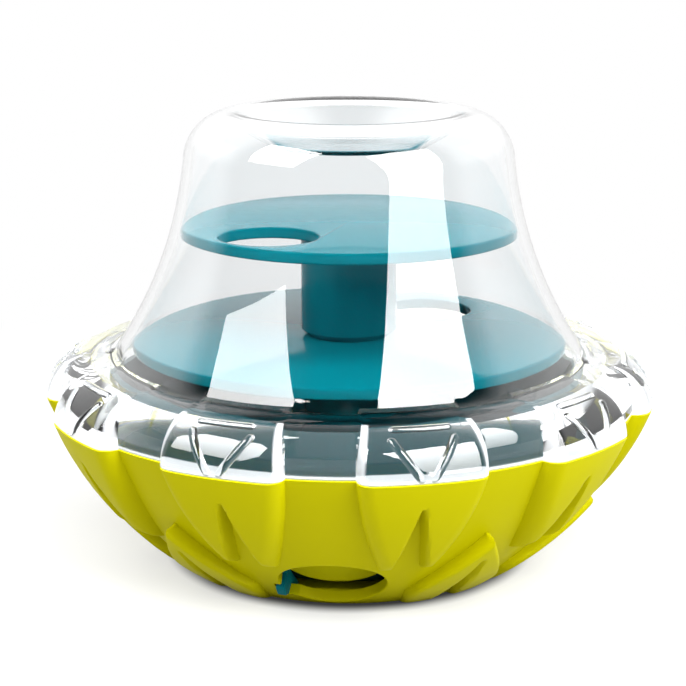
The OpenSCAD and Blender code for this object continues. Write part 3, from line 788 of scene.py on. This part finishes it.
class PUZZLE_OT_bowl(bpy.types.Operator):
    """Makes the lime bowl with its lobes, petals and outlet"""
    bl_idname = "puzzle.bowl"
    bl_label = "Bowl"

    def execute(self, context):
        form = BowlForm()
        # Rings lie closest at the foot's rounding and where the lobes' tips end
        tips = form.tips + np.array([0, 0.12, 0.3, 0.6, 1.0, 1.5, 2.1, 2.8, 3.6])
        heights = np.concatenate([[0.0, 0.1, 0.25, 0.6], np.linspace(1.0, 15.0, 20), tips,
                                  np.linspace(20.0, form.rim, 32)])
        low, high = form.columns(0.0), form.columns(form.rim)
        rings = [pole(0), *[ring(form.foot * share, 0.0, low) for share in (0.3, 0.6, 0.9)]]
        for z in heights:
            angles = form.columns(z)
            rings.append(ring(form.outer(angles, z), z, angles))
        rings += [ring(form.socket, z, high) for z in (form.rim, SOCKET_FLOOR)]
        rings += [ring(form.core(z, form.wall), z, high) for z in np.linspace(SOCKET_FLOOR, form.wall, 13)]
        rings += [ring(20.0, form.wall, high), pole(form.wall)]
        bowl = skin("lime_bowl", rings)
        carve(bowl, outlet_tool(form.outlet_round))
        carve(bowl, arc_block("pocket_tool", on_slope(POCKET), *POCKET_ANGLES))
        carve(bowl, join([*self.slots(form), *self.screw_holes(form)]))
        bowl = join([bowl, outlet_sleeve()])
        smooth(bowl, 40)
        hand_in(bowl, "lime_satin", "base", "lime_shell", "base_shell")
        return {"FINISHED"}

    def slots(self, form):
        """Tools for the slots that take the dome's keys."""
        half = KEY_HALF_WIDTH + KEY_CLEARANCE
        low = (-half, -form.socket - KEY_REACH, KEY_FLOOR - KEY_CLEARANCE)
        high = (half, -form.socket + 0.8, form.rim + 1)
        return [box_solid("slot_tool", low, high, form.pitch / 2 + i * 2 * math.pi / KEY_COUNT)
                for i in range(KEY_COUNT)]

    def screw_holes(self, form):
        """Tools for the screws' holes and the recesses of their heads."""
        head, shank, over = SCREW_HEAD + SCREW_CLEARANCE, SCREW_SHANK + SCREW_CLEARANCE, form.wall + 1
        line = [(0, -1), (head, -1), (head, HEAD_HIGH), (shank, HEAD_HIGH), (shank, over), (0, over)]
        tools = []
        for i in range(SCREW_COUNT):
            a = (i + 0.5) * 2 * math.pi / SCREW_COUNT
            tools.append(turned("screw_tool", line, 32))
            place = Vector((SCREW_CIRCLE * math.sin(a), -SCREW_CIRCLE * math.cos(a), 0))
            tools[-1].data.transform(Matrix.Translation(place * MM))
        return tools


class PUZZLE_OT_dome(bpy.types.Operator):
    """Makes the clear dome with its solid lobed flange and raised ribs"""
    bl_idname = "puzzle.dome"
    bl_label = "Clear dome"

    def execute(self, context):
        form, sizes = BowlForm(), context.scene.dome_sizes
        wall, top, lift = sizes.wall / MM, sizes.crest_height / MM, sizes.flange_height / MM
        angles = form.columns(form.rim, (3, 16, 5, 3, 2))
        flange = form.rim + lift
        ring_centre, lobe_round = form.core_rim - lift, lift - LOBE_DROP
        lobe_centre = form.top_radius - lobe_round
        shoulder, dish = (SHOULDER, top - SHOULDER_ROUND), (SHOULDER, top - DISH_ROUND)
        bend, slope = math.radians(NECK_SLOPE), math.radians(DISH_SLOPE)
        neck = np.array(shoulder) + SHOULDER_ROUND * np.array([math.cos(bend), math.sin(bend)])
        flare = arc_centre(neck, (ring_centre - FLARE_GAP, flange), FLARE)

        def side(inset, low, steps):
            """The dome's side from the dish's middle down to a height."""
            floor = top - DISH_DEPTH - inset
            edge = np.array(dish) + (DISH_ROUND - inset) * np.array([-math.sin(slope), math.cos(slope)])
            foot = np.array([edge[0] - (edge[1] - floor) / math.tan(slope), floor])
            line = rounded([(0, floor), foot, edge], [0, DISH_CORNER, 0], 5)
            z = np.linspace(neck[1], low, steps)[1:]
            flared = np.stack([flare[0] - np.sqrt((FLARE + inset) ** 2 - (z - flare[1]) ** 2), z], axis=1)
            return np.concatenate([line[:-1], arc(dish, DISH_ROUND - inset, 90 + DISH_SLOPE, 90, 7),
                                   arc(shoulder, SHOULDER_ROUND - inset, 90 - NECK_SLOPE, NECK_SLOPE, 13),
                                   flared])

        base = form.rim + JOINT_LINE
        flange_foot = form.core_rim + form.relief * form.rim_mask(angles)

        def flange_ring(t):
            """A ring over the plain flange and its lobes at a share t of the way down their rounding."""
            a = math.pi / 2 * (1 - t)
            c, s, square = math.cos(a), math.sin(a), 2 / FLANGE_POWER
            plain = np.array([ring_centre + lift * c ** square, form.rim + lift * s ** square])
            proud = np.array([lobe_centre + lobe_round * c, form.rim + lobe_round * s])
            tapered = form.rim_mask(angles, 1 - LOBE_TAPER * s ** 2)
            r, z = plain[:, None] + (proud - plain)[:, None] * tapered
            return ring(r, np.maximum(z, base + FLANGE_FOOT_ROUND), angles)

        spigot, soft = form.socket - SPIGOT_CLEARANCE, 0.4
        bore, spigot_end = spigot - wall, SOCKET_FLOOR + soft
        inner = side(wall, flange - wall, 22)
        rings = [pole(inner[0][1]), *[ring(r, z, angles) for r, z in inner[1:]]]
        rings += [ring(ring_centre, flange - wall, angles), ring(bore, flange - 2 * wall, angles)]
        rings += [ring(bore, z, angles) for z in (48.0, 44.0, spigot_end + soft)]
        rings += [ring(r, spigot_end, angles) for r in (bore + soft, spigot - soft)]
        rings += [ring(spigot, z, angles) for z in (spigot_end + soft, base)]
        for t in np.radians(np.linspace(0, 90, 5)):
            r = flange_foot - FLANGE_FOOT_ROUND * (1 - math.sin(t))
            rings.append(ring(r, base + FLANGE_FOOT_ROUND * (1 - math.cos(t)), angles))
        shares = np.concatenate([np.linspace(0.94, 0.8, 5), np.linspace(0.76, 0.0, 22)])
        rings += [flange_ring(t) for t in shares]
        rings += [ring(r, z, angles) for r, z in side(0.0, flange + FLARE_GAP, 26)[:0:-1]]
        dome = skin("clear_dome_moulding", [*rings, pole(top - DISH_DEPTH)])

        bar = sizes.rib_radius / MM
        sunk = bar - sizes.rib_rise / MM

        def on_lobe(x, up):
            """A point under the face of a lobe in front, across its middle and up from the rim."""
            t = math.asin(min(1.0, up / lobe_round))
            r = lobe_centre + (lobe_round - sunk) * math.cos(t)
            a = x / r
            return (r * math.sin(a), -r * math.cos(a), form.rim + (lobe_round - sunk) * math.sin(t))

        ribs = [tube("rib", [on_lobe(x, BAR_HEIGHT) for x in np.linspace(-BAR_REACH, BAR_REACH, 8)], bar)]
        for way in (-1, 1):
            across, up = (np.linspace(*ends, 14) for ends in zip(RIB_TOP, RIB_FOOT))
            ribs.append(tube("rib", [on_lobe(way * x, z) for x, z in zip(across, up)], bar))
        ribs = join(ribs)
        repeat_round(ribs, form.count, form.pitch / 2, "clear_styrene")
        carve(dome, ribs, "UNION")
        key = box_solid("key", (-KEY_HALF_WIDTH, -spigot - KEY_REACH, KEY_FLOOR),
                        (KEY_HALF_WIDTH, -spigot + 1.0, KEY_TOP))
        repeat_round(key, KEY_COUNT, form.pitch / 2, "clear_styrene")
        carve(dome, key, "UNION")
        smooth(dome, 30)
        hand_in(dome, "clear_styrene", "dome", "clear_plastic", "clear_dome")
        return {"FINISHED"}


class PUZZLE_OT_tiers(bpy.types.Operator):
    """Makes the two turning discs with their tubes"""
    bl_idname = "puzzle.tiers"
    bl_label = "Tiers"

    def execute(self, context):
        low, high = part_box("lower_tier"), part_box("upper_tier")
        inner = PEG - PEG_WALL
        peg = [((PEG, LOWER_TOP), 0.5), ((PEG, LOWER_TOP + PEG_HEIGHT), 0.7),
               ((inner, LOWER_TOP + PEG_HEIGHT), 0.4), ((inner, LOWER_TOP), 0.3)]
        plans = (("upper_tier", high[1].x / MM, high[1].z / MM, LOWER_TOP, UPPER_HOLE, []),
                 ("lower_tier", low[1].x / MM, LOWER_TOP, LOWER_FOOT, LOWER_HOLE, peg))
        for name, radius, top, foot, hole, extra in plans:
            bottom = top - DISC
            # Corners of the outline, each with its rounding
            line = [((0, bottom), 0), ((BORE, bottom), 0.3), ((BORE, foot), 0.3),
                    ((TUBE - TUBE_BEVEL, foot), 0), ((TUBE, foot + TUBE_BEVEL), 0.3), ((TUBE, bottom), 0.5),
                    ((radius, bottom), 0.6), ((radius, top), 0.6), *extra, ((0, top), 0)]
            tier = turned(name + "_moulding", rounded([p for p, _ in line], [r for _, r in line]), 256)
            wide = TREAT_HOLE + HOLE_ROUND + 0.2
            flare = [(TREAT_HOLE + HOLE_ROUND * (1 - math.sin(t)), HOLE_ROUND * (1 - math.cos(t)))
                     for t in np.radians(np.linspace(0, 90, 6))]
            tool = turned("hole_tool", [(0, bottom - 1), (wide, bottom - 1), (wide, bottom - 0.01),
                                        *[(r, bottom + d) for r, d in flare],
                                        *[(r, top - d) for r, d in flare[::-1]],
                                        (wide, top + 0.01), (wide, top + 1), (0, top + 1)], 96)
            tool.data.transform(Matrix.Translation(Vector((*hole, 0)) * MM))
            carve(tier, tool)
            smooth(tier, 30)
            hand_in(tier, "teal_gloss", name, "teal_plastic", name)
        return {"FINISHED"}


class PUZZLE_OT_inside(bpy.types.Operator):
    """Finishes the tray, the gate and the ballast"""
    bl_idname = "puzzle.inside"
    bl_label = "Tray, gate and ballast"

    def execute(self, context):
        # The tray gets the darkened teal, a painted shade; the ballast gets cast iron
        for node, material in (("treat_tray", "teal_tray"), ("ballast_ring", "cast_iron")):
            dress(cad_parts[node], material)
        form = BowlForm()
        z = np.linspace(GATE_LOW, GATE_HIGH, 12)
        plate_line = [*zip(form.core(z, GATE_FRONT), z), *zip(form.core(z[::-1], GATE_BACK), z[::-1])]
        gate = arc_block("gate_slide", plate_line, *GATE_ANGLES, 24)
        lip = on_slope(rounded(LIP, LIP_ROUNDS, 5))
        carve(gate, arc_block("gate_lip", lip, *LIP_ANGLES, 6), "UNION")
        soften = gate.modifiers.new("soften", "BEVEL")
        soften.width, soften.segments, soften.limit_method = 0.35 * MM, 3, "ANGLE"
        soften.angle_limit = math.radians(50)
        take_mesh(gate, soften)
        smooth(gate, 35)
        hand_in(gate, "teal_satin", "gate", "teal_plastic", "outlet_gate")
        return {"FINISHED"}


class PUZZLE_OT_screws(bpy.types.Operator):
    """Makes the screws under the foot"""
    bl_idname = "puzzle.screws"
    bl_label = "Screws"

    def execute(self, context):
        line = rounded([(0, HEAD_LOW), (SCREW_HEAD, HEAD_LOW), (SCREW_HEAD, HEAD_HIGH),
                        (SCREW_SHANK, HEAD_HIGH), (SCREW_SHANK, SHANK_END), (0, SHANK_END)],
                       [0, 0.5, 0, 0, 0.4, 0], 5)
        screw = turned("foot_screws", line, 40)
        reach, half, depth = 1.9, 0.4, 1.3
        for turn in (0.0, math.pi / 2):
            carve(screw, box_solid("drive_tool", (-reach, -half, 0), (reach, half, depth), turn))
        screw.data.transform(Matrix.Translation(Vector((0, -SCREW_CIRCLE, 0)) * MM))
        repeat_round(screw, SCREW_COUNT, math.pi / SCREW_COUNT, "bright_steel")
        smooth(screw, 35)
        hand_in(screw, "bright_steel", "base", "screw_steel", "base_screws")
        return {"FINISHED"}


def plate(name, width, height, place, aim, material):
    """A flat rectangle that stands at a place and faces a point."""
    w, h = width / 2, height / 2
    thing = new_object(name, [(-w, -h, 0), (w, -h, 0), (w, h, 0), (-w, h, 0)], [(0, 1, 2, 3)])
    facing = (Vector(aim) - Vector(place)).to_track_quat("Z", "Y")
    thing.matrix_world = Matrix.Translation(place) @ facing.to_matrix().to_4x4()
    thing.data.materials.append(material)
    return thing


def bearing(angle, lift, distance, aim):
    """A point at an angle from -Y towards +X and a lift, both in degrees, seen from aim."""
    a, e = math.radians(angle), math.radians(lift)
    way = Vector((math.sin(a) * math.cos(e), -math.cos(a) * math.cos(e), math.sin(e)))
    return Vector(aim) + distance * way


def bare_material(name):
    """A material without a shader, its wiring and the socket that takes one."""
    material = bpy.data.materials.new(name)
    material.use_nodes = True
    nodes = material.node_tree.nodes
    nodes.remove(nodes["Principled BSDF"])
    return material, Wiring(material.node_tree), nodes["Material Output"].inputs["Surface"]


class PUZZLE_OT_studio(bpy.types.Operator):
    """Makes the floor, the light and the camera"""
    bl_idname = "puzzle.studio"
    bl_label = "Studio"

    def execute(self, context):
        scene, set_up = context.scene, context.scene.studio
        scene.view_settings.view_transform = "Standard"
        camera = bpy.data.objects.new("camera", bpy.data.cameras.new("camera"))
        scene.collection.objects.link(camera)
        camera.data.sensor_width = SENSOR
        camera.data.lens = FOCAL_PIXELS / FRAME_PIXELS * SENSOR
        camera.data.shift_x = SHIFT_PIXELS / FRAME_PIXELS
        camera.data.clip_start = 0.01
        camera.location = (set_up.distance * math.sin(set_up.turn), -set_up.distance * math.cos(set_up.turn),
                           set_up.height)
        camera.rotation_euler = (math.pi / 2 - set_up.pitch, 0, set_up.turn)
        scene.camera = camera
        self.world(scene, set_up)
        self.floor()
        self.lamps(scene, set_up)
        return {"FINISHED"}

    def seen(self, wires):
        """The light path, and a value of 1 where the camera looks, also by mirrors or through clear walls."""
        path = wires.add("ShaderNodeLightPath").outputs
        straight = wires.math("MAXIMUM", path["Is Camera Ray"], path["Is Transmission Ray"])
        looked_at = wires.math("MAXIMUM", straight, path["Is Glossy Ray"])
        return path, wires.math("MULTIPLY", looked_at, wires.math("LESS_THAN", path["Diffuse Depth"], 0.5))

    def world(self, scene, set_up):
        """White where the camera sees it, a studio room in reflections and an even fill elsewhere."""
        scene.world = bpy.data.worlds.new("studio")
        scene.world.use_nodes = True
        tree = scene.world.node_tree
        wires = Wiring(tree)
        path, seen = self.seen(wires)
        way = wires.add("ShaderNodeTexCoord").outputs["Generated"]
        x, y, z = wires.add("ShaderNodeSeparateXYZ", way).outputs
        # In reflections the room is dark in front, white behind and at the sides, and brightest high up
        sides, dark_end, white_start, level_end, high_start = 0.55, 0.3, 0.65, 0.05, 0.4
        back = wires.math("MULTIPLY_ADD", wires.math("ABSOLUTE", x), sides, y)
        behind = wires.ramp(z, level_end, high_start, 1.0, set_up.backlight)
        room = wires.mix(wires.ramp(back, dark_end, white_start), set_up.dark, behind)
        rest = wires.mix(path["Is Transmission Ray"], set_up.fill, set_up.inside)
        level = wires.mix(seen, rest, room)
        sky = tree.nodes["Background"].inputs
        sky["Color"].default_value = (1, 1, 1, 1)
        wires.feed(sky["Strength"], wires.mix(path["Is Camera Ray"], level, 1.0))

    def floor(self):
        """A pale floor that keeps the toy's shadow, with a painted contact shadow round the foot."""
        material, wires, surface = bare_material("studio_floor")
        _, seen = self.seen(wires)
        away = wires.add("ShaderNodeVectorMath", wires.place(), operation="LENGTH").outputs["Value"]
        # Paper that takes the shadow lies near the toy, with a painted contact shadow that darkens it where
        # the foot meets it, and it is white far off
        foot, painted_shadow_width, darkest = bpy.context.scene.bowl_sizes.foot_radius, 0.007, 0.06
        pale, lift, paper_end, white_start = 0.42, 0.6, 0.12, 0.3
        painted_contact_shadow = wires.ramp(away, foot, foot + painted_shadow_width, darkest, 1.0)
        shade = wires.mix_colour(painted_contact_shadow, (0, 0, 0, 1), (pale, pale, pale, 1))
        paper = wires.put("ShaderNodeBsdfDiffuse", shade)
        lifted = wires.math("MULTIPLY", wires.math("MULTIPLY", seen, lift), painted_contact_shadow)
        near = wires.put("ShaderNodeAddShader", paper, wires.put("ShaderNodeEmission", None, lifted))
        # Far off it is white where it is seen, and gives the toy a little less light
        far = wires.put("ShaderNodeEmission", None, wires.math("MULTIPLY_ADD", seen, 0.25, 0.75))
        wires.feed(surface, wires.mix_shader(wires.ramp(away, paper_end, white_start), near, far))
        width, gap = 8, 0.0002
        plate("studio_floor", width, width, (0, 0, -gap), (0, 0, 1), material)

    def lamps(self, scene, set_up):
        """Softboxes that are seen only in reflections, and lamps a little higher that are never seen."""
        aim, distance = (0, 0, 0.07), 1.0
        glow, wires, surface = bare_material("softbox")
        low, high = 0.55 * set_up.softbox, 1.8 * set_up.softbox
        fade = wires.ramp(wires.place(axes=True)["Y"], -0.5, 0.5, low, high, "LINEAR")
        wires.feed(surface, wires.put("ShaderNodeEmission", None, fade))
        for name, angle, lift, width, height in (("right", 50.5, 28, 0.74, 1.06),
                                                 ("left", -52, 43, 0.62, 0.66)):
            card = plate("softbox_" + name, width, height, bearing(angle, lift, distance, aim), aim, glow)
            card.visible_camera = card.visible_diffuse = False
            card.visible_transmission = card.visible_shadow = False
        for name, angle, lift, width, height, power in (("right", 50.5, 42, 0.74, 0.8, 16.5),
                                                        ("left", -52, 50, 0.62, 0.66, 7.0),
                                                        ("front", 0, 62, 0.5, 0.5, 3.5)):
            place = bearing(angle, lift, distance, aim)
            lamp = bpy.data.objects.new("lamp_" + name, bpy.data.lights.new("lamp_" + name, "AREA"))
            scene.collection.objects.link(lamp)
            lamp.data.shape = "RECTANGLE"
            lamp.data.size, lamp.data.size_y = width, height
            lamp.data.energy = power
            lamp.location = place
            lamp.rotation_euler = (Vector(aim) - place).to_track_quat("-Z", "Y").to_euler()
            lamp.visible_glossy = lamp.visible_transmission = lamp.visible_camera = False


class PUZZLE_PT_panel(bpy.types.Panel):
    """Lists the steps that dress the treat puzzle"""
    bl_idname = "PUZZLE_PT_panel"
    bl_label = "Treat Puzzle"
    bl_space_type = "VIEW_3D"
    bl_region_type = "UI"
    bl_category = "Treat Puzzle"

    def draw(self, context):
        for step in STEPS:
            self.layout.operator(step.bl_idname)
        for name in GROUPS:
            box = self.layout.box()
            group = getattr(context.scene, name)
            for prop in group.bl_rna.properties:
                if prop.identifier not in ("rna_type", "name"):
                    box.prop(group, prop.identifier)


STEPS = (PUZZLE_OT_finishes, PUZZLE_OT_bowl, PUZZLE_OT_dome, PUZZLE_OT_tiers, PUZZLE_OT_inside,
         PUZZLE_OT_screws, PUZZLE_OT_studio)
GROUPS = {"bowl_sizes": BowlSizes, "dome_sizes": DomeSizes, "finish": Finish, "studio": Studio}


def register():
    for group in GROUPS.values():
        bpy.utils.register_class(group)
    for name, group in GROUPS.items():
        setattr(bpy.types.Scene, name, PointerProperty(type=group))
    for step in STEPS:
        bpy.utils.register_class(step)
    bpy.utils.register_class(PUZZLE_PT_panel)


def unregister():
    bpy.utils.unregister_class(PUZZLE_PT_panel)
    for step in reversed(STEPS):
        bpy.utils.unregister_class(step)
    for name, group in GROUPS.items():
        delattr(bpy.types.Scene, name)
        bpy.utils.unregister_class(group)


def main():
    register()
    bpy.ops.puzzle.finishes()
    bpy.ops.puzzle.bowl()
    bpy.ops.puzzle.dome()
    bpy.ops.puzzle.tiers()
    bpy.ops.puzzle.inside()
    bpy.ops.puzzle.screws()
    bpy.ops.puzzle.studio()


if __name__ == "__main__":
    main()
